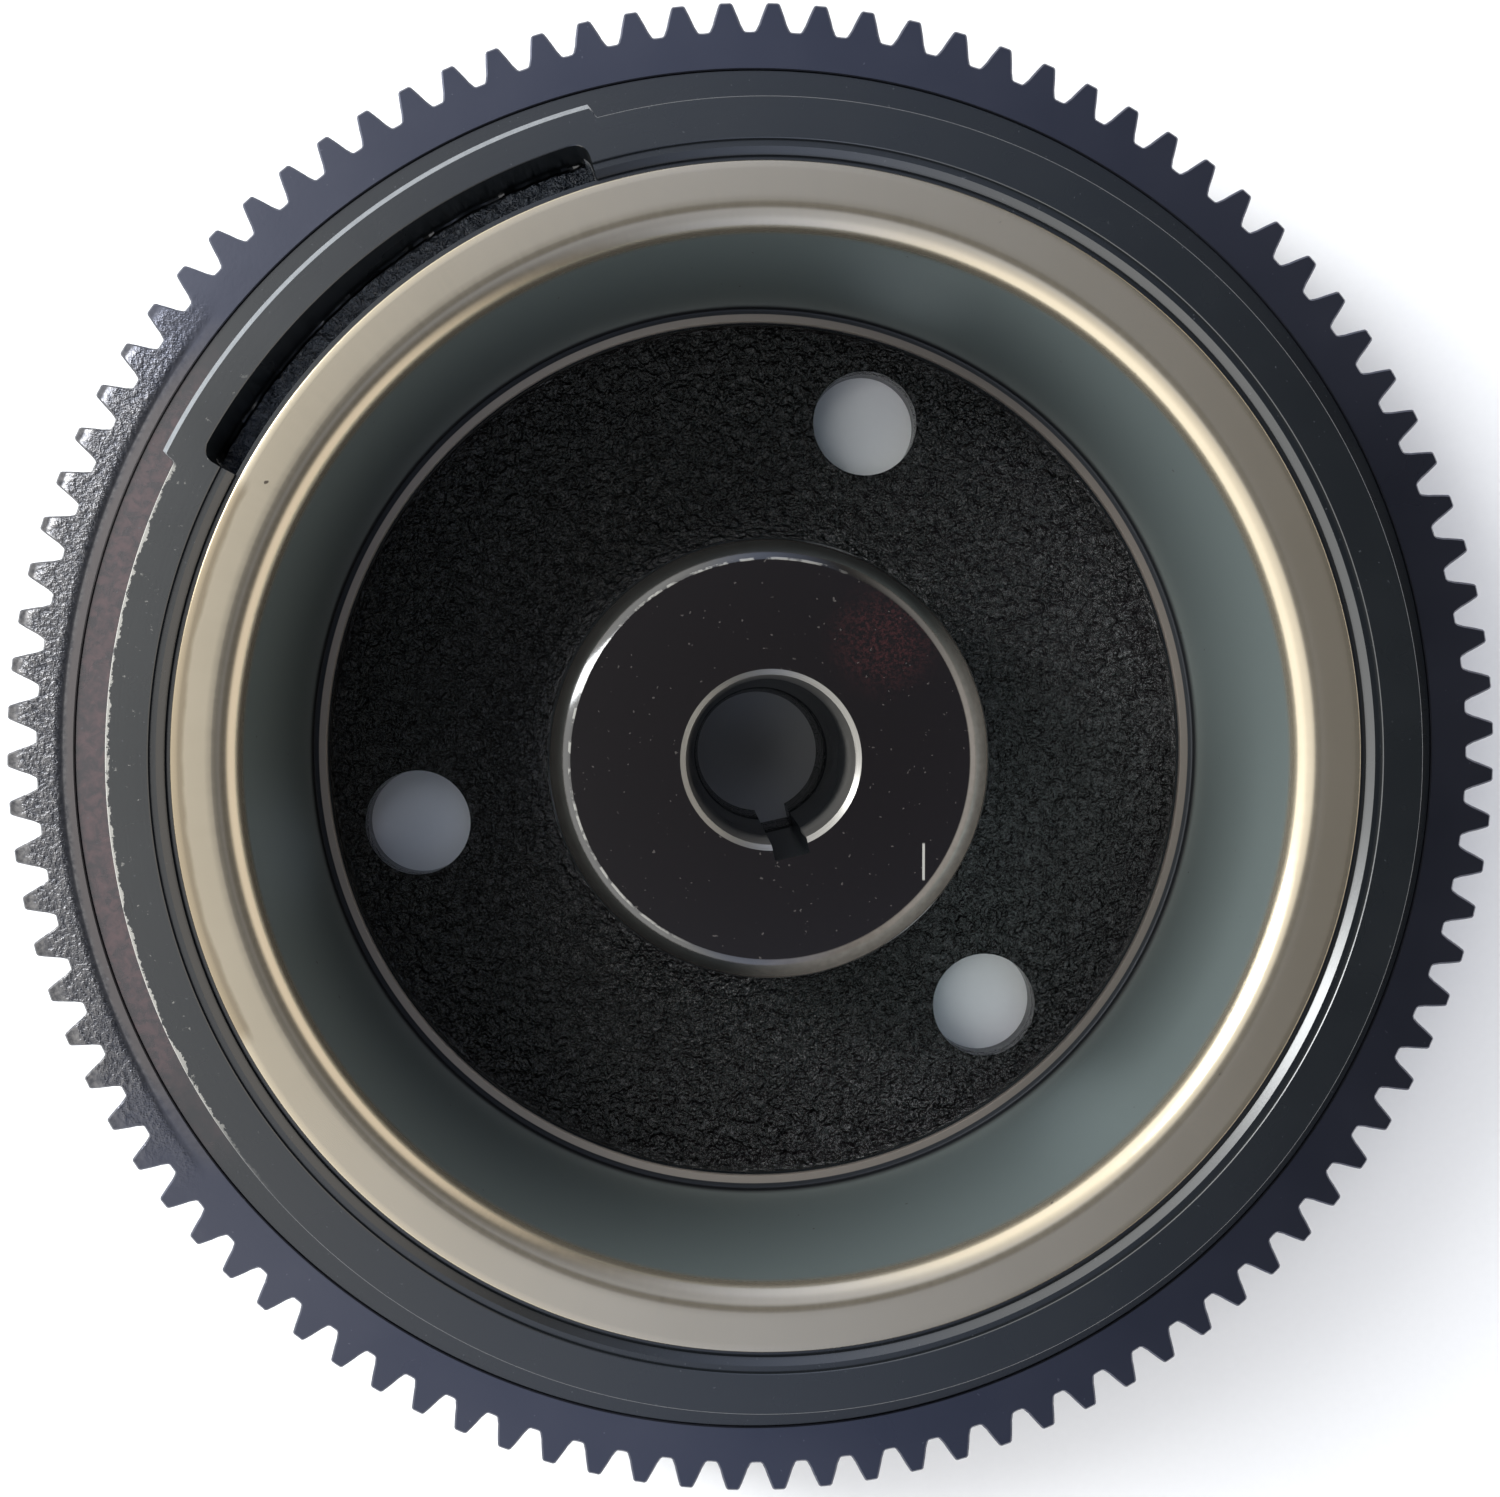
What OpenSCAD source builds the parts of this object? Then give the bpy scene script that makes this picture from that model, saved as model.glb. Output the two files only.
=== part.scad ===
// Magneto flywheel of a small engine: an iron drum with a toothed starter ring outside
// and arc magnets inside, held by a pressed cover.
// Z runs along the crankshaft axis. The closed side rests on z = 0 and the drum opens upwards.
// Every radial size is stacked inwards from the starter ring, and every height from the two
// end faces, so the pieces keep touching when one size changes.

/* [Starter ring] */
// Number of teeth
ring_teeth = 99; // [94:1:130]
// Gear module (25.4 / 12 for a 12 pitch ring)
ring_module = 2.117; // [2:0.001:2.6]
// Pressure angle of the teeth in degrees
pressure_angle = 20; // [14.5:0.5:25]
// Thickness of a tooth along the pitch circle
tooth_t = 3.4; // [2.8:0.05:3.8]
// Depth of a tooth below the pitch circle
tooth_dedendum = 1.93; // [1.6:0.01:2.6]
// Metal between the tooth roots and the bore of the ring
ring_rim_t = 5.35; // [3:0.05:8]
// Width of the ring along the axis
ring_w = 12; // [6:0.5:14]
// Distance from the open end of the drum down to the ring
ring_drop = 26; // [14:0.5:30]
// Chamfer on the tooth tips and on the bore of the ring
ring_chamfer = 0.5; // [0.2:0.1:1]
// Direction of the first tooth in degrees
ring_phase = 2.08; // [0:0.01:3.6]

/* [Drum] */
// Overall height from the closed side to the open end
drum_h = 55; // [46:0.5:80]
// Step from the drum's outside out to the bore of the ring
flange_w = 13; // [6:0.5:20]
// How far the flange sits below the face of the ring
flange_sink = 0.4; // [0:0.1:2]
// Thickness of the shoulder that the ring rests on
shoulder_t = 3; // [2:0.5:4]
// How far the shoulder reaches out under the ring
shoulder_w = 3; // [1:0.5:4.5]
// Thickness of the drum wall behind the magnets
wall_t = 8.5; // [6:0.1:12]
// Radius on the outer edge of the closed side
bottom_round = 7; // [1:0.5:8]
// Width of the step that seats the magnet cover
cover_seat_w = 1.5; // [1:0.1:3]
// Width of the machined step inside the end face
rim_step_w = 1.7; // [0.8:0.1:3]
// Depth of the machined step inside the end face
rim_step_h = 0.5; // [0.2:0.1:0.8]

/* [Web] */
// Thickness of the web between hub and drum
web_t = 5.5; // [4:0.5:7]
// Depth of the turned relief in the closed side
web_relief = 1; // [0.5:0.5:2]
// Height of the ledge above the web that carries the magnets and their cover
ledge_h = 2.5; // [1:0.5:5]
// Diameter of the three holes in the web
web_hole_d = 16.2; // [10:0.1:17]
// Metal left between each web hole and the ledge
web_hole_edge = 3.7; // [2:0.1:5]
// Direction of the first web hole in degrees
web_hole_angle = 71.8; // [0:0.1:120]

/* [Hub] */
// Diameter of the hub below its rounded edge
hub_d = 60.2; // [52:0.2:62]
// Radius of the cast edge around the machined face on top of the hub
hub_round = 6; // [4:0.5:8]
// Width of the cast edge left outside the machined face
hub_edge_w = 3.3; // [1:0.1:3.8]
// Growth in diameter from the rounded edge down to the foot
hub_draft = 2.8; // [0:0.1:4]
// Fillet between the hub and the web
hub_fillet = 8; // [4:0.5:8]
// Distance from the open end of the drum down to the hub face
hub_drop = 9; // [4:0.5:16]
// Diameter of the crankshaft bore at its wide end
bore_d = 22.8; // [18:0.1:26]
// Taper of the bore: millimetres of length for 1 mm of diameter
bore_taper = 10; // [8:1:20]
// Chamfer at the wide end of the bore
bore_chamfer = 0.75; // [0.3:0.05:1.5]
// Width of the keyway
key_w = 4.8; // [3:0.1:6]
// Depth of the keyway beyond the bore
key_depth = 1.9; // [1:0.1:3]
// Direction of the keyway in degrees
key_angle = 282.5; // [0:0.5:360]
// Diameter of the nut recess in the closed side
nut_recess_d = 40; // [32:0.5:46]
// Depth of the nut recess
nut_recess_h = 5; // [3:0.5:8]

/* [Trigger lobe] */
// Direction in which the lobe starts, in degrees
lobe_start = 105.6; // [0:0.1:300]
// Angle that the lobe covers
lobe_angle = 47.7; // [10:0.1:60]
// How far the lobe stands out from the drum
lobe_out = 2.1; // [1:0.1:4]
// Length of the lobe along the axis
lobe_len = 20; // [8:0.5:24]
// Chamfer along the top edge of the lobe
lobe_chamfer = 0.8; // [0.2:0.1:1.5]
// Radial width of the pocket behind the lobe
pocket_w = 4.5; // [2:0.1:5]
// Depth of the pocket
pocket_h = 8; // [3:0.5:14]
// Angle by which each end of the pocket stops short of the lobe
pocket_inset = 1.4; // [0.5:0.1:5]

/* [Magnets] */
// Number of magnets, one for each pole
magnet_count = 12; // [4:2:24]
// Thickness of a magnet
magnet_t = 6.8; // [4:0.1:9]
// Chamfer on the long inner edges of a magnet
magnet_chamfer = 1; // [0.3:0.1:2]
// Gap between the magnets and the wall of their cover
magnet_gap = 0.2; // [0.1:0.05:0.5]
// Angle of the spacer between two magnets in degrees
spacer_angle = 3.4; // [1.5:0.1:6]

/* [Magnet cover] */
// Thickness of the cover sheet
cover_t = 0.8; // [0.5:0.1:1.2]
// Gap between the edge of the cover and the drum
cover_gap = 0.7; // [0.2:0.1:1]
// Distance from the open end of the drum down to the cover
cover_drop = 1; // [0.9:0.1:3]
// Outer radius of the bend from the flange into the wall
cover_bend = 3.5; // [2:0.1:5]
// Width of the lip turned inwards at the bottom of the wall
cover_lip = 2; // [1.4:0.1:4]
// Outer radius of the bend into the lip
cover_lip_bend = 1.2; // [1:0.1:2]

/* [Hidden] */
$fn = 180;
eps = 0.01;
over = 2;

// Starter ring radii
pitch_r = ring_teeth * ring_module / 2;
tip_r = pitch_r + ring_module;
root_r = pitch_r - tooth_dedendum;
base_r = pitch_r * cos(pressure_angle);
seat_r = root_r - ring_rim_t;
flank_steps = 4;

// Drum radii, from the outside in
drum_r = seat_r - flange_w;
magnet_bore_r = drum_r - wall_t;
cover_seat_r = magnet_bore_r + cover_seat_w;
rim_step_r = cover_seat_r + rim_step_w;
magnet_in_r = magnet_bore_r - magnet_t;
cover_wall_r = magnet_in_r - magnet_gap - cover_t;
cover_lip_r = cover_wall_r - cover_lip;
ledge_r = cover_lip_r - 0.4;
cover_r = cover_seat_r - cover_gap;
web_hole_pcr = ledge_r - web_hole_edge - web_hole_d / 2;
lobe_r = drum_r + lobe_out;

// Heights
ring_top_z = drum_h - ring_drop;
ring_z = ring_top_z - ring_w;
shoulder_fillet = min(2, ring_z - shoulder_t - bottom_round);
web_top_z = web_relief + web_t;
ledge_z = web_top_z + ledge_h;
cover_top_z = drum_h - cover_drop;
cover_seat_z = cover_top_z - cover_t;
magnet_h = cover_top_z - cover_bend - 0.5 - ledge_z;
hub_top_z = drum_h - hub_drop;
hub_foot_r = (hub_d + hub_draft) / 2;
relief_in_r = hub_foot_r + 4.5;
relief_out_r = ledge_r;

// Crankshaft bore
bore_len = hub_top_z - nut_recess_h;
bore_r = bore_d / 2;
bore_small_r = bore_r - bore_len / bore_taper / 2;
taper_angle = atan(1 / bore_taper / 2);

pitch_deg = 360 / magnet_count;
magnet_angle = pitch_deg - spacer_angle;

// ---- Outlines ----

// Involute function of an angle in degrees, in degrees
function involute(a) = tan(a) * 180 / PI - a;

// Half the angle that a tooth covers at radius r
function half_tooth(r) =
    tooth_t / pitch_r / 2 * 180 / PI + involute(pressure_angle) - involute(acos(base_r / r));

function flank_r(k) = root_r + (tip_r - root_r) * k / flank_steps;

function polar(r, a) = [r * cos(a), r * sin(a)];

// One tooth from its right root over the tip to its left root
function tooth_points(a) = concat(
    [for (k = [0 : flank_steps]) polar(flank_r(k), a - half_tooth(flank_r(k)))],
    [for (k = [flank_steps : -1 : 0]) polar(flank_r(k), a + half_tooth(flank_r(k)))]
);

function ring_points() = [
    for (i = [0 : ring_teeth - 1])
        each tooth_points(ring_phase + i * 360 / ring_teeth)
];

// Fills the corner at the origin between +X and +Y with a concave fillet
module fillet(r) {
    difference() {
        translate([-eps, -eps]) square(r + eps);
        translate([r, r]) circle(r);
    }
}

// Quarter of a bent sheet, from the direction a to a + 90
module sheet_bend(r, t, a) {
    rotate(a) intersection() {
        difference() {
            circle(r);
            circle(r - t);
        }
        square(r);
    }
}

// ---- Flywheel body ----

module hub_outline() {
    edge_r = hub_d / 2 - hub_round;
    round_z = hub_top_z - sqrt(pow(hub_round, 2) - pow(hub_round - hub_edge_w, 2));
    // foot and drafted side
    polygon([
        [0, 0],
        [hub_foot_r, 0],
        [hub_foot_r, web_top_z + hub_fillet],
        [hub_d / 2, round_z],
        [0, round_z]
    ]);
    // cast edge, cut off by the machined face
    intersection() {
        union() {
            translate([edge_r, round_z]) circle(hub_round);
            translate([0, round_z - eps]) square([edge_r, hub_round + over]);
        }
        translate([0, round_z - eps]) square([hub_d, hub_top_z - round_z + eps]);
    }
    translate([hub_foot_r, web_top_z]) fillet(hub_fillet);
}

module drum_outline() {
    difference() {
        union() {
            // wall with the rounded edge of the closed side
            difference() {
                translate([magnet_bore_r, 0]) square([wall_t, drum_h]);
                translate([drum_r - bottom_round, bottom_round]) difference() {
                    translate([0, -bottom_round - over])
                        square([bottom_round + over, bottom_round + over]);
                    circle(bottom_round);
                }
            }
            // web and ledge
            square([magnet_bore_r + eps, web_top_z]);
            translate([ledge_r, 0]) square([magnet_bore_r - ledge_r + eps, ledge_z]);
            // flange inside the starter ring, and the shoulder under it
            translate([drum_r - eps, ring_z - shoulder_t])
                square([flange_w + eps, ring_w + shoulder_t - flange_sink]);
            translate([drum_r - eps, ring_z - shoulder_t])
                square([flange_w + shoulder_w + eps, shoulder_t]);
            // fillet where the shoulder meets the drum below
            if (shoulder_fillet > 0)
                translate([drum_r, ring_z - shoulder_t]) mirror([0, 1]) fillet(shoulder_fillet);
        }
        // turned relief in the closed side
        translate([relief_in_r, -over]) square([relief_out_r - relief_in_r, web_relief + over]);
        // seat of the magnet cover
        translate([magnet_bore_r - over, cover_seat_z]) square([cover_seat_w + over, drum_h]);
        // machined step inside the end face, and its chamfer down to the seat
        translate([cover_seat_r - over, drum_h - rim_step_h]) square([rim_step_w + over, drum_h]);
        polygon([
            [cover_seat_r - eps, drum_h - rim_step_h - rim_step_w / 2],
            [cover_seat_r + rim_step_w / 2, drum_h - rim_step_h + eps],
            [cover_seat_r - eps, drum_h - rim_step_h + eps]
        ]);
    }
}

// The lobe is a thickening of the wall that the pickup of the ignition senses
module trigger_lobe() {
    rotate([0, 0, lobe_start]) rotate_extrude(angle = lobe_angle)
        polygon([
            [drum_r - 1, drum_h - lobe_len],
            [drum_r, drum_h - lobe_len],
            [lobe_r, drum_h - lobe_len + lobe_out],
            [lobe_r, drum_h - lobe_chamfer],
            [lobe_r - lobe_chamfer, drum_h],
            [drum_r - 1, drum_h]
        ]);
}

// Pocket left in the end face behind the lobe, with rounded outer corners
module lobe_pocket() {
    corner_r = min(2, pocket_w / 2);
    outer_r = cover_seat_r + pocket_w;
    corner_deg = asin(corner_r / (outer_r - corner_r));
    start = lobe_start + pocket_inset;
    span = lobe_angle - 2 * pocket_inset;
    translate([0, 0, drum_h - pocket_h]) {
        rotate([0, 0, start + corner_deg]) rotate_extrude(angle = span - 2 * corner_deg)
            translate([cover_seat_r, 0]) square([pocket_w, pocket_h + over]);
        rotate([0, 0, start]) rotate_extrude(angle = span)
            translate([cover_seat_r, 0]) square([pocket_w - corner_r, pocket_h + over]);
        for (a = [start + corner_deg, start + span - corner_deg])
            rotate([0, 0, a]) translate([outer_r - corner_r, 0, 0])
                cylinder(r = corner_r, h = pocket_h + over);
    }
}

module crank_bore() {
    // taper, with a little extra length at both ends
    translate([0, 0, nut_recess_h - over])
        cylinder(
            r1 = bore_small_r - over / bore_taper / 2,
            r2 = bore_r + over / bore_taper / 2,
            h = bore_len + 2 * over
        );
    translate([0, 0, hub_top_z - bore_chamfer])
        cylinder(r1 = bore_r, r2 = bore_r + bore_chamfer + over, h = bore_chamfer + over);
    translate([0, 0, -over]) cylinder(d = nut_recess_d, h = nut_recess_h + over);
    // keyway along the taper
    rotate([0, 0, key_angle]) translate([bore_r, 0, hub_top_z]) rotate([0, taper_angle, 0])
        translate([-bore_r / 2, -key_w / 2, -bore_len - over])
            cube([bore_r / 2 + key_depth, key_w, bore_len + 2 * over]);
}

module web_holes() {
    for (i = [0 : 2])
        rotate([0, 0, web_hole_angle + i * 120]) translate([web_hole_pcr, 0, -over])
            cylinder(d = web_hole_d, h = web_top_z + 2 * over);
}

module flywheel_body() {
    color([0.16, 0.18, 0.20]) difference() {
        union() {
            rotate_extrude() drum_outline();
            rotate_extrude() hub_outline();
            trigger_lobe();
        }
        lobe_pocket();
        crank_bore();
        web_holes();
    }
}

// ---- Starter ring ----

module ring_gear() {
    color([0.25, 0.25, 0.29]) translate([0, 0, ring_z]) difference() {
        intersection() {
            linear_extrude(ring_w) polygon(ring_points());
            rotate_extrude() polygon([
                [0, 0],
                [tip_r - ring_chamfer, 0],
                [tip_r, ring_chamfer],
                [tip_r, ring_w - ring_chamfer],
                [tip_r - ring_chamfer, ring_w],
                [0, ring_w]
            ]);
        }
        translate([0, 0, -over]) cylinder(r = seat_r, h = ring_w + 2 * over);
        translate([0, 0, ring_w - ring_chamfer])
            cylinder(r1 = seat_r, r2 = seat_r + ring_chamfer + over, h = ring_chamfer + over);
    }
}

// ---- Magnets, spacers and their cover ----

// Outline shared by magnets and spacers, so that they fill the same ring
module magnet_outline(chamfer) {
    polygon([
        [magnet_in_r, ledge_z + chamfer],
        [magnet_in_r + chamfer, ledge_z],
        [magnet_bore_r, ledge_z],
        [magnet_bore_r, ledge_z + magnet_h],
        [magnet_in_r + chamfer, ledge_z + magnet_h],
        [magnet_in_r, ledge_z + magnet_h - chamfer]
    ]);
}

module magnet(i) {
    color([0.22, 0.21, 0.21])
        rotate([0, 0, (i - 1) * pitch_deg + spacer_angle / 2])
            rotate_extrude(angle = magnet_angle) magnet_outline(magnet_chamfer);
}

module spacer(i) {
    color([0.10, 0.10, 0.11])
        rotate([0, 0, (i - 1) * pitch_deg - spacer_angle / 2])
            rotate_extrude(angle = spacer_angle) magnet_outline(magnet_chamfer / 2);
}

module magnet_cover() {
    lip_bend_r = cover_wall_r + cover_t - cover_lip_bend;
    flange_in_r = cover_wall_r + cover_bend;
    color([0.66, 0.63, 0.54]) rotate_extrude() {
        translate([flange_in_r - eps, cover_seat_z]) square([cover_r - flange_in_r + eps, cover_t]);
        translate([flange_in_r, cover_top_z - cover_bend]) sheet_bend(cover_bend, cover_t, 90);
        translate([cover_wall_r, ledge_z + cover_lip_bend - eps])
            square([cover_t, cover_top_z - cover_bend - ledge_z - cover_lip_bend + 2 * eps]);
        translate([lip_bend_r, ledge_z + cover_lip_bend]) sheet_bend(cover_lip_bend, cover_t, 270);
        translate([cover_lip_r, ledge_z]) square([lip_bend_r - cover_lip_r + eps, cover_t]);
    }
}

flywheel_body();
ring_gear();
magnet_cover();
for (i = [1 : magnet_count])
    magnet(i);
for (i = [1 : magnet_count])
    spacer(i);
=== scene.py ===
"""Magneto flywheel seen from its open side. Lengths are in millimetres until MM turns them into metres."""
import math
import random

import bmesh
import bpy
from mathutils import Matrix, Vector, noise


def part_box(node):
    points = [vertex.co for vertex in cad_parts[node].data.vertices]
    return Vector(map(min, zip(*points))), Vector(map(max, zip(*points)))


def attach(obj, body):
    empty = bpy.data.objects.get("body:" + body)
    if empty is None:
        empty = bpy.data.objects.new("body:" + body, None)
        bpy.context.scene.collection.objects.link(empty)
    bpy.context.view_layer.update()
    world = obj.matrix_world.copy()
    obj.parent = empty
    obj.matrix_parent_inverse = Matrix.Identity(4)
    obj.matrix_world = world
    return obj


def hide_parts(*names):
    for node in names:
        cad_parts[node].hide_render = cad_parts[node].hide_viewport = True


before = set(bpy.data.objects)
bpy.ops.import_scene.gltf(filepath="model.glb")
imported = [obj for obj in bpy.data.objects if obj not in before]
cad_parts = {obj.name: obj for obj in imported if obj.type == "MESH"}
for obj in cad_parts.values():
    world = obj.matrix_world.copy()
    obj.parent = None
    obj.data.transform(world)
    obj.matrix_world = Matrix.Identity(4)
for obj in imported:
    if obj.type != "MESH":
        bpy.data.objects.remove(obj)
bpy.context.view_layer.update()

MM = 0.001
random.seed(7)

# ---- Sizes taken from the frame ----

ring_low, ring_high = (Vector(corner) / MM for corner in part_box("ring_gear"))
body_high = Vector(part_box("flywheel_body")[1]) / MM
cover_low, cover_high = (Vector(corner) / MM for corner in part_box("magnet_cover"))

TEETH = 99
MODULE = 2.117
PITCH_R = TEETH * MODULE / 2
TIP_R = PITCH_R + MODULE
ROOT_R = PITCH_R - 1.93
BASE_R = PITCH_R * math.cos(math.radians(20))
TOOTH_T = 3.4
RING_PHASE = 2.08
SEAT_R = ROOT_R - 5.35
SHOULDER_R = body_high.x
DRUM_R = SEAT_R - 13
BORE_WALL_R = DRUM_R - 8.5
SEAT_STEP_R = BORE_WALL_R + 1.5
RIM_STEP_R = SEAT_STEP_R + 1.7
COVER_R = cover_high.x
COVER_WALL_R = BORE_WALL_R - 6.8 - 0.2 - 0.8
COVER_T = 0.8
LIP_R = COVER_WALL_R - 2
LEDGE_R = LIP_R - 0.4
HOLE_R = 8.1
HOLE_CIRCLE_R = LEDGE_R - 3.7 - HOLE_R
HOLE_ANGLE = 71.8

TOP_Z = body_high.z
RING_Z, RING_TOP_Z = ring_low.z, ring_high.z
FLANGE_Z = RING_TOP_Z - 0.4
SHOULDER_Z = RING_Z - 3
LEDGE_Z = cover_low.z
WEB_Z = LEDGE_Z - 2.5
COVER_TOP_Z = cover_high.z
COVER_SEAT_Z = COVER_TOP_Z - COVER_T
HUB_Z = TOP_Z - 9
HUB_R, HUB_FOOT_R = 30.1, 31.5
HUB_FILLET, HUB_ROUND, HUB_EDGE = 8.0, 6.0, 3.3
HUB_FACE_R = HUB_R - HUB_EDGE
BORE_R, BORE_CHAMFER, BORE_TAPER, NUT_Z, NUT_R = 11.4, 0.75, 10.0, 5.0, 20.0
KEY_ANGLE, KEY_W, KEY_DEPTH = 282.5, 4.8, 1.9
RELIEF_R, RELIEF_Z = HUB_FOOT_R + 4.5, 1.0
BOTTOM_ROUND, SHOULDER_ROUND, FLANGE_ROUND, WEB_ROUND = 7, 2, 0.8, 0.8
LOBE_START, LOBE_SPAN, LOBE_OUT, LOBE_LENGTH = 105.6, 47.7, 2.1, 20
POCKET_INSET, POCKET_W, POCKET_H, POCKET_CORNER = 1.4, 4.5, 8.0, 2.0
POCKET_OUT_R, POCKET_Z = SEAT_STEP_R + POCKET_W, TOP_Z - POCKET_H
COVER_BEND, LIP_BEND = 3.5, 1.2

# How many sections run around, and the turn in degrees that makes an edge sharp
CASTING_SECTIONS, COVER_SECTIONS = 640, 540
CASTING_SHARP, RING_SHARP, COVER_SHARP, FLOOR_SHARP = 20, 24, 40, 28


# ---- Mesh helpers ----

def arc(centre, radius, start, end, steps):
    """Points of an arc in the section plane, without its first point."""
    points = []
    for k in range(1, steps + 1):
        angle = math.radians(start + (end - start) * k / steps)
        points.append((centre[0] + radius * math.cos(angle), centre[1] + radius * math.sin(angle)))
    return points


def line(start, end, steps=1):
    """Points of a straight stretch, without its first point."""
    return [
        (start[0] + (end[0] - start[0]) * k / steps, start[1] + (end[1] - start[1]) * k / steps)
        for k in range(1, steps + 1)
    ]


def smooth_step(value, low, high):
    t = min(1.0, max(0.0, (value - low) / (high - low)))
    return t * t * (3 - 2 * t)


def mark_sharp(bm, degrees):
    """Smooth faces with hard edges where the surface really turns."""
    limit = math.radians(degrees)
    for face in bm.faces:
        face.smooth = True
    for edge in bm.edges:
        edge.smooth = len(edge.link_faces) == 2 and edge.calc_face_angle(0) < limit


def add_object(name, bm, material, sharp):
    bmesh.ops.recalc_face_normals(bm, faces=bm.faces)
    mark_sharp(bm, sharp)
    mesh = bpy.data.meshes.new(name)
    bm.to_mesh(mesh)
    bm.free()
    mesh.materials.append(material)
    obj = bpy.data.objects.new(name, mesh)
    bpy.context.scene.collection.objects.link(obj)
    return obj


def revolve(section, angles):
    """Closed ring of quads. section(angle) is the (r, z) loop at that angle, always with as many points."""
    bm = bmesh.new()
    columns = []
    for angle in angles:
        c, s = math.cos(math.radians(angle)), math.sin(math.radians(angle))
        columns.append([bm.verts.new((r * c * MM, r * s * MM, z * MM)) for r, z in section(angle)])
    for a, b in zip(columns, columns[1:] + columns[:1]):
        for k in range(len(a)):
            n = (k + 1) % len(a)
            bm.faces.new((a[k], b[k], b[n], a[n]))
    return bm


# ---- Node helpers ----

class Nodes:
    """Short names for building one node material."""

    def __init__(self, name):
        self.material = bpy.data.materials.new(name)
        self.material.use_nodes = True
        self.tree = self.material.node_tree
        self.shader = self.tree.nodes["Principled BSDF"]
        self.position = self.new("ShaderNodeTexCoord").outputs["Object"]
        scaled = self.new("ShaderNodeVectorMath", operation="SCALE")
        self.tree.links.new(self.position, scaled.inputs[0])
        scaled.inputs["Scale"].default_value = 1 / MM
        self.mm = scaled.outputs[0]
        split = self.new("ShaderNodeSeparateXYZ")
        self.tree.links.new(self.mm, split.inputs[0])
        self.x, self.y, self.z = split.outputs
        self.r = self.math("SQRT", self.add(self.mul(self.x, self.x), self.mul(self.y, self.y)))
        self.angle = self.math("ARCTAN2", self.y, self.x)

    def new(self, kind, **settings):
        node = self.tree.nodes.new(kind)
        for key, value in settings.items():
            setattr(node, key, value)
        return node

    def put(self, value, socket):
        if isinstance(value, bpy.types.NodeSocket):
            self.tree.links.new(value, socket)
        else:
            socket.default_value = value

    def math(self, operation, a, b=0.0, clamp=False):
        node = self.new("ShaderNodeMath", operation=operation, use_clamp=clamp)
        self.put(a, node.inputs[0])
        self.put(b, node.inputs[1])
        return node.outputs[0]

    def add(self, a, b):
        return self.math("ADD", a, b)

    def sub(self, a, b):
        return self.math("SUBTRACT", a, b)

    def mul(self, a, b):
        return self.math("MULTIPLY", a, b)

    def band(self, value, low, high, soft):
        """1 between low and high, fading to 0 over soft on both sides."""
        rise = self.step(value, low - soft, low)
        fall = self.step(value, high, high + soft)
        return self.mul(rise, self.sub(1.0, fall))

    def step(self, value, low, high):
        """0 below low, rising to 1 at high."""
        node = self.new("ShaderNodeMapRange", interpolation_type="SMOOTHSTEP")
        self.put(value, node.inputs["Value"])
        node.inputs["From Min"].default_value = low
        node.inputs["From Max"].default_value = high
        return node.outputs["Result"]

    def drop(self, value, low, high):
        """1 below low, fading to 0 at high."""
        return self.sub(1.0, self.step(value, low, high))

    def noise(self, scale, detail=3.0, roughness=0.55, vector=None, distortion=0.0):
        """Noise with features of about 1 / scale millimetres."""
        node = self.new("ShaderNodeTexNoise")
        self.put(vector or self.mm, node.inputs["Vector"])
        node.inputs["Scale"].default_value = scale
        node.inputs["Detail"].default_value = detail
        node.inputs["Roughness"].default_value = roughness
        node.inputs["Distortion"].default_value = distortion
        return node.outputs["Fac"]

    def polar(self, radial, around):
        """Scaled radius, scaled angle and Z. The angle jumps on the -X side."""
        node = self.new("ShaderNodeCombineXYZ")
        self.put(self.mul(self.r, radial), node.inputs[0])
        self.put(self.mul(self.angle, around), node.inputs[1])
        self.put(self.z, node.inputs[2])
        return node.outputs[0]

    def mix(self, factor, a, b):
        node = self.new("ShaderNodeMix", data_type="RGBA")
        self.put(factor, node.inputs["Factor"])
        for value, socket in ((a, node.inputs["A"]), (b, node.inputs["B"])):
            self.put(value if isinstance(value, bpy.types.NodeSocket) else (*value, 1.0), socket)
        return node.outputs["Result"]

    def blend(self, factor, a, b):
        """Number between a and b."""
        node = self.new("ShaderNodeMix", data_type="FLOAT")
        self.put(factor, node.inputs["Factor"])
        self.put(a, node.inputs["A"])
        self.put(b, node.inputs["B"])
        return node.outputs["Result"]

    def bump(self, height, strength, distance_mm, normal=None):
        node = self.new("ShaderNodeBump")
        self.put(height, node.inputs["Height"])
        node.inputs["Strength"].default_value = strength
        node.inputs["Distance"].default_value = distance_mm * MM
        node.inputs["Filter Width"].default_value = 1.0
        if normal is not None:
            self.put(normal, node.inputs["Normal"])
        return node.outputs["Normal"]

    def finish(self, color, roughness, normal=None, metallic=0.0):
        self.put(color, self.shader.inputs["Base Color"])
        self.put(roughness, self.shader.inputs["Roughness"])
        self.put(metallic, self.shader.inputs["Metallic"])
        if normal is not None:
            self.put(normal, self.shader.inputs["Normal"])
        return self.material


# ---- Materials ----

def heat_side(n):
    """1 on the left of the wheel, where the ring was heated and the paint is worn."""
    away = n.math("ABSOLUTE", n.sub(n.math("ABSOLUTE", n.angle), math.pi))
    wobble = n.mul(n.sub(n.noise(0.05), 0.5), 0.5)
    return n.drop(n.add(away, wobble), 0.35, 0.75)


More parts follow.
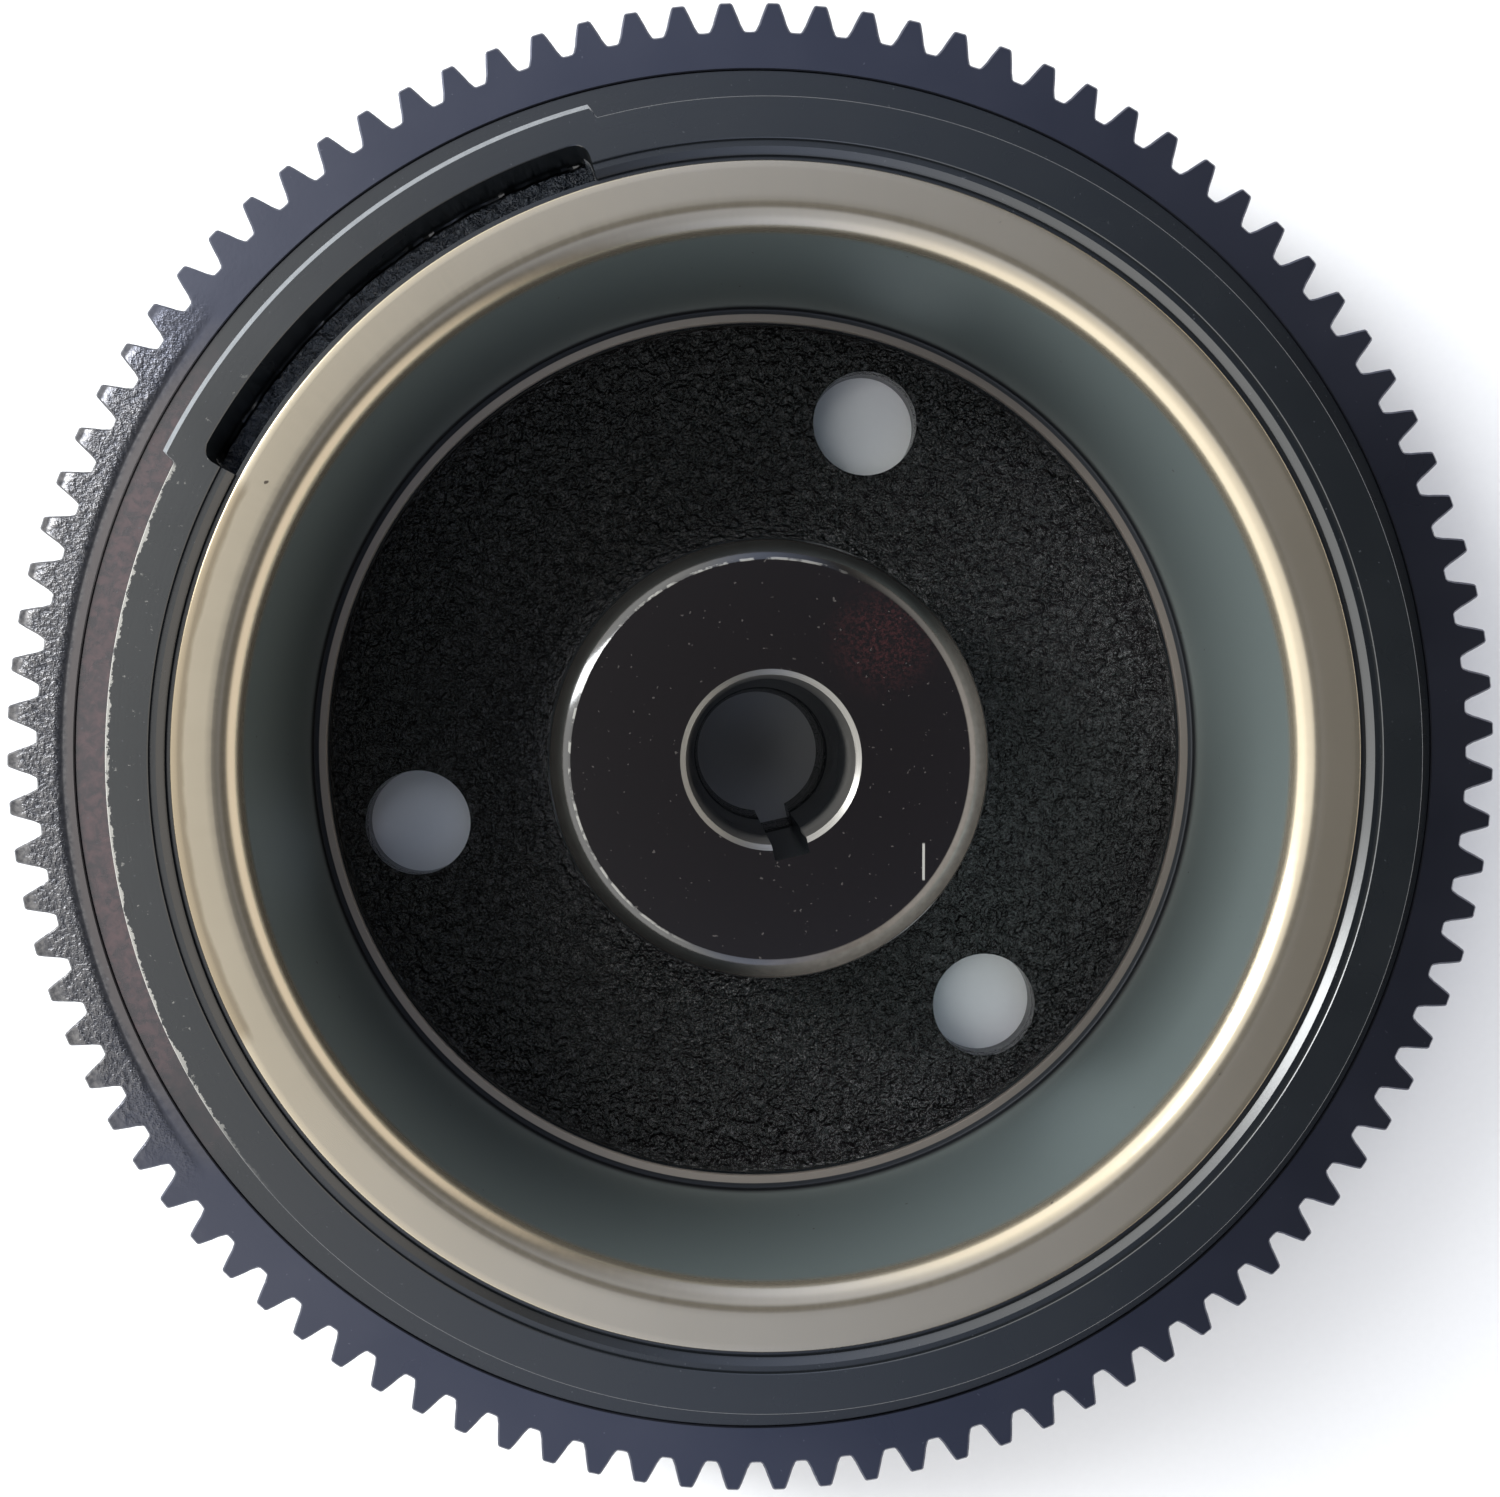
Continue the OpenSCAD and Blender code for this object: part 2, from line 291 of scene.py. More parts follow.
def casting_material():
    n = Nodes("casting")
    n.shader.inputs["IOR"].default_value = 1.68
    fine = n.noise(2.4, 4.0, 0.7)
    grit = n.noise(0.62, 4.0, 0.62, distortion=0.6)
    broad = n.noise(0.06, 3.0)
    specks = n.step(n.noise(1.6, 1.0), 0.74, 0.77)
    inside = n.drop(n.r, LEDGE_R + 0.02, LEDGE_R + 0.07)
    rough_web = n.mul(inside, n.drop(n.z, WEB_Z + 5.5, WEB_Z + 11.5))
    rough_web = n.mul(rough_web, n.step(n.z, NUT_Z - 2.0, NUT_Z - 1.0))
    pocket = n.mul(
        n.band(n.r, SEAT_STEP_R - 0.5, POCKET_OUT_R - 0.6, 0.3),
        n.band(n.z, POCKET_Z - 3.0, POCKET_Z + 2.0, 1.5))
    cast = n.math("MAXIMUM", rough_web, pocket)
    hub_top = n.mul(
        n.drop(n.r, HUB_FACE_R + 0.1, HUB_FACE_R + 0.3), n.step(n.z, HUB_Z - 0.5, HUB_Z - 0.1))
    bore_chamfer = n.mul(
        n.drop(n.r, BORE_R + 0.8, BORE_R + 0.85), n.band(n.z, HUB_Z - 0.9, HUB_Z - 0.03, 0.02))
    # bare machined metal near the mouth of the bore, fading back to black paint further down: painted shade
    # in the deep bore
    bore_metal_over_painted_shade = n.mul(
        n.drop(n.r, BORE_R + 0.1, BORE_R + 0.2), n.step(n.z, HUB_Z - 12.0, HUB_Z - 3.0))
    bore_metal_over_painted_shade = n.math(
        "MAXIMUM", bore_chamfer, n.mul(bore_metal_over_painted_shade, n.drop(n.z, HUB_Z - 0.7, HUB_Z - 0.65)))
    edge = n.mul(
        n.band(n.r, HUB_FACE_R + 0.1, HUB_R - 0.5, 0.3), n.band(n.z, HUB_Z - 3.2, HUB_Z + 0.1, 0.6))
    heat = heat_side(n)
    flange = n.mul(
        n.step(n.r, DRUM_R + 0.4, DRUM_R + 0.8), n.drop(n.z, RING_TOP_Z + 1.0, RING_TOP_Z + 1.5))

    # black paint, tinted on the heated side of the flange, rough on the web, and painted light in the pocket
    color = n.mix(broad, (0.0030, 0.0042, 0.0050), (0.0052, 0.0068, 0.0078))
    rust = n.mix(n.step(grit, 0.35, 0.7), (0.022, 0.017, 0.020), (0.062, 0.034, 0.036))
    color = n.mix(n.mul(flange, heat), color, rust)
    color = n.mix(n.mul(specks, 0.4), color, (0.06, 0.065, 0.07))
    color = n.mix(cast, color, n.mix(grit, (0.0035, 0.003, 0.0032), (0.0085, 0.0072, 0.0070)))
    # painted light: the pocket's colour is raised well above the black paint to make up for its shade, and
    # its grit mottling stands in for glints
    color = n.mix(pocket, color, n.mix(grit, (0.045, 0.055, 0.072), (0.15, 0.17, 0.20)))

    # the hub's machined face with a reddish stain and one scratch, and its rounded edge with painted light on
    # its right side
    stain_x, stain_y = n.sub(n.x, 15.0), n.sub(n.y, 16.0)
    off_stain = n.math("SQRT", n.add(n.mul(stain_x, stain_x), n.mul(stain_y, stain_y)))
    stain = n.mul(n.drop(off_stain, 2.0, 9.0), n.step(fine, 0.45, 0.62))
    face = n.mix(fine, (0.0035, 0.0025, 0.0026), (0.0065, 0.0048, 0.0046))
    face = n.mix(stain, face, (0.028, 0.009, 0.009))
    face = n.mix(n.mul(specks, 0.4), face, (0.12, 0.11, 0.10))
    scratch = n.mul(n.band(n.x, 20.35, 20.6, 0.08), n.band(n.y, -16.0, -11.4, 0.3))
    face = n.mix(scratch, face, (0.34, 0.33, 0.30))
    color = n.mix(hub_top, color, face)
    # painted light: the right side of the hub's edge is painted lighter, where light falls on it
    hub_edge_right_light = n.mul(edge, n.step(n.sub(n.x, n.mul(n.y, 0.55)), 8.0, 27.0))
    color = n.mix(edge, color, n.mix(n.noise(0.5), (0.006, 0.0055, 0.005), (0.012, 0.011, 0.010)))
    color = n.mix(hub_edge_right_light, color, n.mix(n.noise(0.8, 4.0), (0.10, 0.088, 0.074), (0.20, 0.175, 0.15)))
    turning = n.noise(1.0, 2.0, 0.6, n.polar(9.0, 1.5))
    # the bore's metal colour, which gives way to painted shade lower in the bore
    color = n.mix(bore_metal_over_painted_shade, color, n.mix(turning, (0.20, 0.19, 0.175), (0.36, 0.35, 0.33)))

    # paint chipped off the rim's outer edge, a painted highlight on the lobe's chamfer and painted glints on
    # the hub's left edge
    bare_iron_and_glint_color = (0.30, 0.29, 0.26)
    jag = n.mul(n.sub(n.noise(0.7, 5.0, 0.75), 0.5), 2.2)
    end_face = n.step(n.z, TOP_Z - 0.7, TOP_Z - 0.4)
    rim = n.mul(n.band(n.add(n.r, jag), DRUM_R - 0.3, DRUM_R + 1.3, 0.06), end_face)
    flakes = n.mul(
        n.step(n.noise(0.9, 5.0, 0.7), 0.655, 0.67),
        n.mul(heat, n.band(n.r, RIM_STEP_R + 1.3, DRUM_R - 0.1, 1.0)))
    lobe_away = n.math("ABSOLUTE", n.sub(n.angle, math.radians(LOBE_START + LOBE_SPAN / 2)))
    off_lobe = n.step(lobe_away, math.radians(LOBE_SPAN / 2), math.radians(LOBE_SPAN / 2 + 0.6))
    chips = n.mul(n.mul(rim, heat), off_lobe)
    lobe_r = DRUM_R + LOBE_OUT
    # painted highlight along the lobe's chamfer
    lobe_chamfer_highlight = n.mul(n.band(n.r, lobe_r - 0.76, lobe_r + 0.09, 0.04), n.step(n.z, TOP_Z - 1.1, TOP_Z - 0.8))
    flakes = n.mul(flakes, end_face)
    # painted highlight: broken light dashes along the left edge of the hub's face
    hub_glint_band = n.band(n.add(n.r, n.mul(jag, 0.08)), HUB_FACE_R - 0.08, HUB_FACE_R + 0.18, 0.08)
    hub_left = n.drop(n.add(n.x, n.mul(n.y, -0.45)), -8.0, 2.0)
    hub_edge_glint = n.mul(hub_glint_band, n.step(n.z, HUB_Z - 0.4, HUB_Z - 0.2))
    hub_edge_glint = n.mul(hub_edge_glint, n.step(n.noise(0.6, 4.0), 0.44, 0.56))
    rim_bare = n.math("MAXIMUM", chips, n.mul(flakes, 0.45))
    # bare iron where the rim's paint chipped, together with the hub edge's painted highlight
    bare_iron_and_hub_glint = n.math("MAXIMUM", rim_bare, n.mul(n.mul(hub_edge_glint, hub_left), 0.6))
    color = n.mix(bare_iron_and_hub_glint, color, bare_iron_and_glint_color)
    color = n.mix(lobe_chamfer_highlight, color, n.mix(n.noise(0.8), (0.05, 0.058, 0.065), (0.13, 0.14, 0.15)))

    roughness = n.blend(broad, 0.22, 0.32)
    roughness = n.blend(cast, roughness, 0.16)
    roughness = n.blend(hub_top, roughness, 0.22)
    roughness = n.blend(edge, roughness, 0.13)
    roughness = n.blend(bore_metal_over_painted_shade, roughness, 0.34)
    metallic = n.mul(bore_metal_over_painted_shade, 0.85)
    scratches = n.noise(0.35, 5.0, 0.8, n.polar(6.0, 3.0))
    normal = n.bump(scratches, 0.12, 0.04)
    normal = n.bump(fine, 0.12, 0.05, normal)
    height = n.mul(cast, n.add(grit, n.mul(fine, 0.35)))
    normal = n.bump(height, 1.0, 3.4, normal)
    return n.finish(color, roughness, normal, metallic)


def ring_material():
    n = Nodes("ring_gear_steel")
    grit = n.noise(1.3, 5.0, 0.75)
    broad = n.noise(0.045, 3.0)
    heat = heat_side(n)
    top_face = n.step(n.z, RING_TOP_Z - 0.9, RING_TOP_Z - 0.2)
    heat = n.mul(heat, n.blend(top_face, 0.4, 1.0))
    color = n.mix(broad, (0.054, 0.058, 0.078), (0.080, 0.083, 0.106))
    grey = n.mix(n.step(grit, 0.3, 0.7), (0.045, 0.046, 0.052), (0.15, 0.145, 0.145))
    color = n.mix(heat, color, grey)
    wobble = n.mul(n.sub(n.noise(0.3, 3.0), 0.5), 1.2)
    inner = n.drop(n.add(n.r, wobble), SEAT_R + 0.7, SEAT_R + 1.7)
    color = n.mix(n.mul(heat, inner), color, (0.11, 0.10, 0.10))
    specks = n.step(n.noise(1.1, 1.0), 0.76, 0.79)
    color = n.mix(n.mul(specks, 0.4), color, (0.2, 0.2, 0.22))
    scale_zone = n.mul(heat, n.band(n.r, ROOT_R - 2.4, PITCH_R - 0.3, 1.5))
    roughness = n.blend(broad, 0.24, 0.34)
    roughness = n.blend(scale_zone, roughness, 0.3)
    normal = n.bump(grit, 0.18, 0.06)
    normal = n.bump(n.mul(scale_zone, grit), 1.0, 0.55, normal)
    return n.finish(color, roughness, normal, 0.9)


def cover_material():
    n = Nodes("cover_sheet")
    streaks = n.noise(1.0, 3.0, 0.6, n.polar(0.12, 150.0))
    cloud = n.noise(0.05, 3.0)
    fine = n.noise(3.0, 3.0)
    pits = n.step(n.noise(0.8, 1.0), 0.80, 0.83)
    lip_z, bend_z = LEDGE_Z + LIP_BEND, COVER_TOP_Z - COVER_BEND
    lip = n.mul(
        n.drop(n.r, COVER_WALL_R - 0.4, COVER_WALL_R - 0.25), n.drop(n.z, lip_z, lip_z + 0.4))
    upright = n.mul(
        n.drop(n.r, COVER_WALL_R + 0.7, COVER_WALL_R + 1.4), n.drop(n.z, bend_z, bend_z + 1.5))
    wall = n.mul(n.sub(1.0, lip), upright)
    color = n.mix(cloud, (0.38, 0.33, 0.245), (0.44, 0.385, 0.295))
    color = n.mix(n.mul(streaks, 0.25), color, (0.50, 0.44, 0.34))
    away = n.math("ABSOLUTE", n.sub(n.math("ABSOLUTE", n.angle), math.pi))
    # painted shadow: a brown band along the flange's outer edge on the left, where the rim shades it
    rim_shadow_on_cover = n.mul(
        n.step(n.add(n.r, n.mul(n.noise(0.2), 0.8)), COVER_R - 1.6, COVER_R - 0.9), n.drop(away, 0.46, 0.5))
    color = n.mix(n.mul(rim_shadow_on_cover, 0.6), color, (0.20, 0.15, 0.09))
    # painted reflection: the upright wall is given a grey-green colour for what it reflects, though it is the
    # same sheet as the gold flange
    color = n.mix(wall, color, (0.265, 0.317, 0.312))
    color = n.mix(pits, color, (0.10, 0.08, 0.06))
    # painted light and shade: the lip is lighter on the left and darker on the right
    lip_side_light_color = n.mix(n.step(n.x, -45.0, 45.0), (0.50, 0.43, 0.37), (0.20, 0.168, 0.145))
    color = n.mix(lip, color, lip_side_light_color)
    # painted shade: a dark band in the corner where the wall bends into the lip
    crease_shade = n.mul(
        n.band(n.r, COVER_WALL_R - 0.76, COVER_WALL_R + 0.19, 0.15), n.drop(n.z, lip_z + 0.2, lip_z + 2.8))
    color = n.mix(crease_shade, color, (0.03, 0.032, 0.036))
    roughness = n.add(0.21, n.mul(n.sub(streaks, 0.5), 0.10))
    roughness = n.blend(n.math("MAXIMUM", lip, wall), roughness, 0.42)
    metallic = n.blend(wall, n.blend(lip, 0.82, 0.5), 0.76)
    normal = n.bump(streaks, 0.25, 0.02)
    normal = n.bump(fine, 0.1, 0.01, normal)
    return n.finish(color, roughness, normal, metallic)


def magnet_material():
    n = Nodes("ferrite")
    grain = n.noise(2.0, 5.0, 0.7)
    color = n.mix(grain, (0.03, 0.028, 0.028), (0.06, 0.056, 0.055))
    return n.finish(color, n.blend(grain, 0.6, 0.8), n.bump(grain, 0.3, 0.05))


def spacer_material():
    n = Nodes("moulded_spacer")
    grain = n.noise(4.0, 3.0)
    color = n.mix(grain, (0.012, 0.012, 0.014), (0.022, 0.022, 0.025))
    return n.finish(color, n.blend(grain, 0.42, 0.55), n.bump(grain, 0.15, 0.02))


def floor_material():
    n = Nodes("floor_paper")
    grain = n.noise(0.8, 3.0)
    color = n.mix(grain, (0.87, 0.87, 0.87), (0.90, 0.90, 0.90))
    return n.finish(color, 0.7)


# ---- Casting ----

def bore_radius(z):
    return BORE_R - (HUB_Z - z) / BORE_TAPER / 2


def lobe_weight(angle):
    start, end = LOBE_START, LOBE_START + LOBE_SPAN
    return smooth_step(angle, start - 0.15, start + 0.35) * (1 - smooth_step(angle, end - 0.35, end + 0.15))


def pocket_outer(angle):
    """Outer radius of the pocket at an angle, or None outside it."""
    start = LOBE_START + POCKET_INSET
    end = LOBE_START + LOBE_SPAN - POCKET_INSET
    if not start <= angle <= end:
        return None
    outer = POCKET_OUT_R
    along = math.radians(min(angle - start, end - angle)) * (outer - POCKET_CORNER)
    if along >= POCKET_CORNER:
        return outer
    return outer - POCKET_CORNER + math.sqrt(POCKET_CORNER ** 2 - (POCKET_CORNER - along) ** 2)


def rim_section(angle):
    """From the end face down to the seat of the cover, over the step or through the pocket."""
    outer = pocket_outer(angle)
    if outer is None:
        corners = [
            (RIM_STEP_R + 0.1, TOP_Z), (RIM_STEP_R, TOP_Z - 0.1), (RIM_STEP_R, TOP_Z - 0.5),
            (RIM_STEP_R - 0.85, TOP_Z - 0.5), (SEAT_STEP_R, TOP_Z - 1.35), (SEAT_STEP_R, COVER_SEAT_Z)
        ]
    else:
        corners = [
            (outer + 0.1, TOP_Z), (outer, TOP_Z - 0.1), (outer, POCKET_Z),
            (SEAT_STEP_R + 0.15, POCKET_Z), (SEAT_STEP_R, POCKET_Z + 0.15), (SEAT_STEP_R, COVER_SEAT_Z)
        ]
    # both outlines are divided alike, so that one turns into the other
    steps = (1, 7, 9, 1, 2)
    points = [corners[0]]
    for start, end, count in zip(corners, corners[1:], steps):
        points += line(start, end, count)
    return points


def casting_section(angle):
    w = lobe_weight(angle)
    edge_r = HUB_R - HUB_ROUND
    round_z = HUB_Z - math.sqrt(HUB_ROUND ** 2 - (HUB_ROUND - HUB_EDGE) ** 2)
    end_deg = math.degrees(math.asin((HUB_Z - 0.12 - round_z) / HUB_ROUND))
    p = [(bore_radius(NUT_Z), NUT_Z), (NUT_R, NUT_Z), (NUT_R, 0.4), (NUT_R + 0.4, 0.0)]
    p += [(RELIEF_R - 0.3, 0.0), (RELIEF_R, 0.3), (RELIEF_R, RELIEF_Z)]
    p += line(p[-1], (LEDGE_R - 0.1, RELIEF_Z), 3)
    p += [(LEDGE_R, 0.3), (LEDGE_R + 0.3, 0.0)]
    p += line(p[-1], (DRUM_R - BOTTOM_ROUND, 0.0), 2)
    p += arc((DRUM_R - BOTTOM_ROUND, BOTTOM_ROUND), BOTTOM_ROUND, -90, 0, 8)
    p += line(p[-1], (DRUM_R, SHOULDER_Z - SHOULDER_ROUND), 1)
    p += arc((DRUM_R + SHOULDER_ROUND, SHOULDER_Z - SHOULDER_ROUND), SHOULDER_ROUND, 180, 90, 4)
    p += [(SHOULDER_R - 0.4, SHOULDER_Z), (SHOULDER_R, SHOULDER_Z + 0.4)]
    p += [(SHOULDER_R, RING_Z), (SEAT_R, RING_Z)]
    p += [(SEAT_R, FLANGE_Z - 0.1), (SEAT_R - 0.1, FLANGE_Z)]
    p += line(p[-1], (DRUM_R + FLANGE_ROUND, FLANGE_Z), 2)
    p += arc((DRUM_R + FLANGE_ROUND, FLANGE_Z + FLANGE_ROUND), FLANGE_ROUND, 270, 180, 3)
    # outer wall with the trigger lobe
    lobe_z = TOP_Z - LOBE_LENGTH
    for z in (lobe_z, lobe_z + 0.7, lobe_z + 1.4, lobe_z + LOBE_OUT, lobe_z + 8, lobe_z + 14):
        p.append((DRUM_R + w * min(LOBE_OUT, z - lobe_z), z))
    chamfer = 0.1 + 0.7 * w
    outer = DRUM_R + w * LOBE_OUT
    p += [(outer, TOP_Z - chamfer - 0.3), (outer, TOP_Z - chamfer), (outer - chamfer, TOP_Z)]
    rim = rim_section(angle)
    p += line(p[-1], rim[0], 3)
    p += rim[1:]
    p += [(BORE_WALL_R, COVER_SEAT_Z), (BORE_WALL_R, LEDGE_Z)]
    p += [(LEDGE_R + 0.3, LEDGE_Z), (LEDGE_R, LEDGE_Z - 0.3)]
    p += [(LEDGE_R, WEB_Z + WEB_ROUND)]
    p += arc((LEDGE_R - WEB_ROUND, WEB_Z + WEB_ROUND), WEB_ROUND, 0, -90, 3)
    p += line(p[-1], (HUB_FOOT_R + HUB_FILLET, WEB_Z), 36)
    p += arc((HUB_FOOT_R + HUB_FILLET, WEB_Z + HUB_FILLET), HUB_FILLET, 270, 180, 14)
    p += line(p[-1], (HUB_R, round_z), 5)
    p += arc((edge_r, round_z), HUB_ROUND, 0, end_deg, 9)
    p += line(p[-1], (p[-1][0] - 0.3, HUB_Z))
    p += line(p[-1], (BORE_R + BORE_CHAMFER, HUB_Z), 3)
    p += [(BORE_R, HUB_Z - BORE_CHAMFER)]
    p += line(p[-1], (bore_radius(NUT_Z), NUT_Z), 4)[:-1]
    return p


def casting_angles():
    """Even steps around, with closer ones where the pocket and the lobe end."""
    angles = [360 * k / CASTING_SECTIONS for k in range(CASTING_SECTIONS)]
    ends = (LOBE_START + POCKET_INSET, LOBE_START + LOBE_SPAN - POCKET_INSET)
    for end, side in zip(ends, (1, -1)):
        angles += [end - side * 0.03, end]
        angles += [end + side * step for step in (0.08, 0.2, 0.4, 0.7)]
    for end in (LOBE_START, LOBE_START + LOBE_SPAN):
        angles += [end - 0.15, end, end + 0.15, end + 0.35, end - 0.35]
    kept = []
    for angle in sorted(angles):
        if not kept or angle - kept[-1] > 0.02:
            kept.append(angle)
    return kept


def roughen(bm):
    """Sand-cast skin on the web, the hub's foot and the pocket floor."""
    for vert in bm.verts:
        x, y, z = vert.co / MM
        r = math.hypot(x, y)
        on_web = HUB_R < r < LEDGE_R - 0.3 and WEB_Z - 0.1 < z < WEB_Z + HUB_FILLET
        in_pocket = SEAT_STEP_R + 0.3 < r < POCKET_OUT_R - 0.2 and abs(z - POCKET_Z) < 0.2
        if not on_web and not in_pocket:
            continue
        point = Vector((x, y, z))
        grain = noise.fractal(point * 1.1, 0.8, 2.2, 4)
        swell = noise.noise(point * 0.12)
        size = 0.16 if on_web else 0.5
        # coarser towards +X and -Y
        side = smooth_step(x - y * 0.6, -30, 40) if on_web else 1.0
        vert.co.z += (grain * size * (0.35 + 0.85 * side) + swell * 0.12) * MM


def cutter(name, bm):
    mesh = bpy.data.meshes.new(name)
    bm.to_mesh(mesh)
    bm.free()
    obj = bpy.data.objects.new(name, mesh)
    bpy.context.scene.collection.objects.link(obj)
    return obj


def web_and_key_cutter():
    bm = bmesh.new()
    for k in range(3):
        angle = math.radians(HOLE_ANGLE + 120 * k)
        place = Matrix.Translation((
            HOLE_CIRCLE_R * math.cos(angle) * MM, HOLE_CIRCLE_R * math.sin(angle) * MM, 3 * MM))
        radius = HOLE_R * MM
        bmesh.ops.create_cone(
            bm, cap_ends=True, segments=96, radius1=radius, radius2=radius, depth=20 * MM, matrix=place)
    taper = math.atan(1 / BORE_TAPER / 2)
    length = HUB_Z - NUT_Z + 4
    size = Matrix.Diagonal(((BORE_R / 2 + KEY_DEPTH) * MM, KEY_W * MM, length * MM, 1))
    move = Matrix.Translation((((KEY_DEPTH - BORE_R / 2) / 2) * MM, 0, (2 - length / 2) * MM))
    turn = Matrix.Rotation(math.radians(KEY_ANGLE), 4, "Z")
    lean = Matrix.Translation((BORE_R * MM, 0, HUB_Z * MM)) @ Matrix.Rotation(taper, 4, "Y")
    bmesh.ops.create_cube(bm, size=1, matrix=turn @ lean @ move @ size)
    return cutter("cutter", bm)


def cut(obj, tool):
    modifier = obj.modifiers.new("cut", "BOOLEAN")
    modifier.operation = "DIFFERENCE"
    modifier.solver = "EXACT"
    modifier.object = tool
    depsgraph = bpy.context.evaluated_depsgraph_get()
    mesh = bpy.data.meshes.new_from_object(obj.evaluated_get(depsgraph))
    obj.modifiers.clear()
    obj.data = mesh
    bpy.data.objects.remove(tool)


def build_casting(material):
    bm = revolve(casting_section, casting_angles())
    roughen(bm)
    obj = add_object("casting", bm, material, CASTING_SHARP)
    cut(obj, web_and_key_cutter())
    bm = bmesh.new()
    bm.from_mesh(obj.data)
    mark_sharp(bm, CASTING_SHARP)
    bm.to_mesh(obj.data)
    bm.free()
    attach(obj, "root")
    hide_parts("flywheel_body")


# ---- Starter ring ----

def involute(angle):
    return math.tan(angle) - angle


def half_tooth(r):
    """Half of a tooth's angle at radius r."""
    flank = involute(math.radians(20)) - involute(math.acos(min(1.0, BASE_R / r)))
    return TOOTH_T / PITCH_R / 2 + flank


def tooth_outline():
    """Half a tooth as (radius, angle from its centre line), from the middle of the root to the tip."""
    root_half = math.pi / TEETH
    foot = half_tooth(ROOT_R)
    points = [(ROOT_R, root_half)]
    points += [(ROOT_R + 0.02, foot + (root_half - foot) * 0.35), (ROOT_R + 0.16, foot + 0.0012)]
    low_r, high_r = ROOT_R + 0.5, TIP_R - 0.25
    for k in range(1, 7):
        r = low_r + (high_r - low_r) * k / 6
        points.append((r, half_tooth(r)))
    points += [(TIP_R - 0.07, half_tooth(TIP_R) * 0.92), (TIP_R, half_tooth(TIP_R) * 0.74), (TIP_R, 0.0)]
    return points


def ring_outline():
    half = tooth_outline()
    points = []
    for tooth in range(TEETH):
        centre = math.radians(RING_PHASE) + tooth * 2 * math.pi / TEETH
        jitter = [random.uniform(-0.03, 0.0) for _ in half]
        rise = [(r + j, centre - a) for (r, a), j in zip(half, jitter)]
        fall = [(r + j, centre + a) for (r, a), j in zip(half, jitter)]
        points += rise + fall[-2:0:-1]
    return [Vector((r * math.cos(a), r * math.sin(a))) for r, a in points]


def inset(points, distance):
    """The outline moved inwards by distance."""
    moved = []
    for k, point in enumerate(points):
        before, after = points[k - 1], points[(k + 1) % len(points)]
        along = (after - before).normalized()
        moved.append(point + Vector((-along.y, along.x)) * distance)
    return moved


def build_ring(material):
    bm = bmesh.new()
    outline = ring_outline()
    chamfer, seat_chamfer = 0.28, 0.15
    slim = inset(outline, chamfer)

    def loop(points, z):
        return [bm.verts.new((p.x * MM, p.y * MM, z * MM)) for p in points]

    def circle(r, z):
        return loop([p.normalized() * r for p in outline], z)

    loops = [
        circle(SEAT_R, RING_Z + seat_chamfer), circle(SEAT_R + seat_chamfer, RING_Z),
        loop(slim, RING_Z), loop(outline, RING_Z + chamfer),
        loop(outline, RING_TOP_Z - chamfer), loop(slim, RING_TOP_Z), circle(SEAT_R + 3.4, RING_TOP_Z),
        circle(SEAT_R + seat_chamfer, RING_TOP_Z), circle(SEAT_R, RING_TOP_Z - seat_chamfer)
    ]
    for a, b in zip(loops, loops[1:] + loops[:1]):
        for k in range(len(a)):
            n = (k + 1) % len(a)
            bm.faces.new((a[k], a[n], b[n], b[k]))
    obj = add_object("starter_ring", bm, material, RING_SHARP)
    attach(obj, "root")
    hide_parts("ring_gear")


# ---- Magnet cover ----

def cover_section(_):
    """The bent sheet, the same at every angle: flange, bend, wall, lip, and back behind them."""
    top_c = (COVER_WALL_R + COVER_BEND, COVER_TOP_Z - COVER_BEND)
    low_c = (COVER_WALL_R + COVER_T - LIP_BEND, LEDGE_Z + LIP_BEND)
    p = [(COVER_R - 0.2, COVER_SEAT_Z), (COVER_R, COVER_SEAT_Z + 0.2), (COVER_R, COVER_TOP_Z - 0.25)]
    p += arc((COVER_R - 0.25, COVER_TOP_Z - 0.25), 0.25, 0, 90, 3)
    p += line(p[-1], (top_c[0], COVER_TOP_Z), 6)
    p += arc(top_c, COVER_BEND, 90, 180, 14)
    p += line(p[-1], (COVER_WALL_R, low_c[1]), 10)
    p += arc(low_c, LIP_BEND - COVER_T, 0, -90, 4)
    p += line(p[-1], (LIP_R + 0.15, LEDGE_Z + COVER_T), 2)
    p += [(LIP_R, LEDGE_Z + COVER_T - 0.15), (LIP_R, LEDGE_Z)]
    p += line(p[-1], (low_c[0], LEDGE_Z), 2)
    p += arc(low_c, LIP_BEND, -90, 0, 6)
    p += line(p[-1], (COVER_WALL_R + COVER_T, top_c[1]), 4)
    p += arc(top_c, COVER_BEND - COVER_T, 180, 90, 8)
    p += line(p[-1], (COVER_R - 0.2, COVER_SEAT_Z), 2)[:-1]
    return p


def build_cover(material):
    bm = revolve(cover_section, [360 * k / COVER_SECTIONS for k in range(COVER_SECTIONS)])
    obj = add_object("cover", bm, material, COVER_SHARP)
    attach(obj, "root")
    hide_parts("magnet_cover")


# ---- Magnets and spacers stay as CAD solids with their own materials ----

def dress_cad_nodes():
    ferrite, plastic = magnet_material(), spacer_material()
    for name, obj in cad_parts.items():
        if name in ("flywheel_body", "ring_gear", "magnet_cover"):
            continue
        obj.data.materials.clear()
        obj.data.materials.append(ferrite if name.startswith("magnet_") else plastic)


# ---- Stage ----

def build_floor():
    bm = bmesh.new()
    bmesh.ops.create_grid(bm, x_segments=4, y_segments=4, size=8.0)
    obj = add_object("floor", bm, floor_material(), FLOOR_SHARP)


